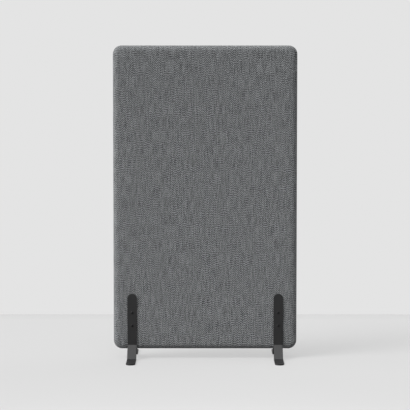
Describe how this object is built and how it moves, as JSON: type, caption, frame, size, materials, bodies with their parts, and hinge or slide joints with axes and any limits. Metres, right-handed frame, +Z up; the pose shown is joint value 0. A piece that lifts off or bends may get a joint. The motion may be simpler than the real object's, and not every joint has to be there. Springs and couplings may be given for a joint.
{
  "type": "partition wall",
  "caption": "Free-standing upholstered acoustic partition panel with rounded corners, held upright by bent flat-bar legs on both faces.",
  "frame": {"origin": "on the floor, under the middle of the panel", "axes": "+Z up, X along the panel's width, and the front face looks towards -Y"},
  "size_m": [0.8, 0.44, 1.365],
  "materials": {
    "cover_fabric": "matte",
    "wadding": "matte",
    "absorber": "matte",
    "hardboard": "matte",
    "timber": "matte",
    "beech": "matte",
    "seam_tape": "matte",
    "black_steel": "satin",
    "black_screw": "satin",
    "zinc_steel": "satin",
    "rubber": "matte"
  },
  "bodies": {
    "root": {"front_cover": "cover_fabric", "rear_cover": "cover_fabric", "edge_seam_tape": "seam_tape", "front_wadding": "wadding", "rear_wadding": "wadding", "front_absorber": "absorber", "rear_absorber": "absorber", "septum_board": "hardboard", "top_rail": "timber", "bottom_rail": "timber", "left_stile": "timber", "right_stile": "timber", "corner_block_bottom_left": "timber", "corner_block_bottom_right": "timber", "corner_block_top_left": "timber", "corner_block_top_right": "timber", "leg_block_left": "timber", "leg_block_right": "timber", "dowel_rail_bottom_left": "beech", "dowel_stile_bottom_left": "beech", "dowel_rail_top_left": "beech", "dowel_stile_top_left": "beech", "dowel_block_left_lower": "beech", "dowel_block_left_upper": "beech", "dowel_rail_bottom_right": "beech", "dowel_stile_bottom_right": "beech", "dowel_rail_top_right": "beech", "dowel_stile_top_right": "beech", "dowel_block_right_lower": "beech", "dowel_block_right_upper": "beech", "threaded_sleeve_left_lower": "zinc_steel", "threaded_sleeve_left_upper": "zinc_steel", "threaded_sleeve_right_lower": "zinc_steel", "threaded_sleeve_right_upper": "zinc_steel", "leg_front_left": "black_steel", "foot_pad_front_left": "rubber", "screw_front_left_lower": "black_screw", "screw_front_left_upper": "black_screw", "leg_front_right": "black_steel", "foot_pad_front_right": "rubber", "screw_front_right_lower": "black_screw", "screw_front_right_upper": "black_screw", "leg_rear_left": "black_steel", "foot_pad_rear_left": "rubber", "screw_rear_left_lower": "black_screw", "screw_rear_left_upper": "black_screw", "leg_rear_right": "black_steel", "foot_pad_rear_right": "rubber", "screw_rear_right_lower": "black_screw", "screw_rear_right_upper": "black_screw"}
  },
  "joints": []
}
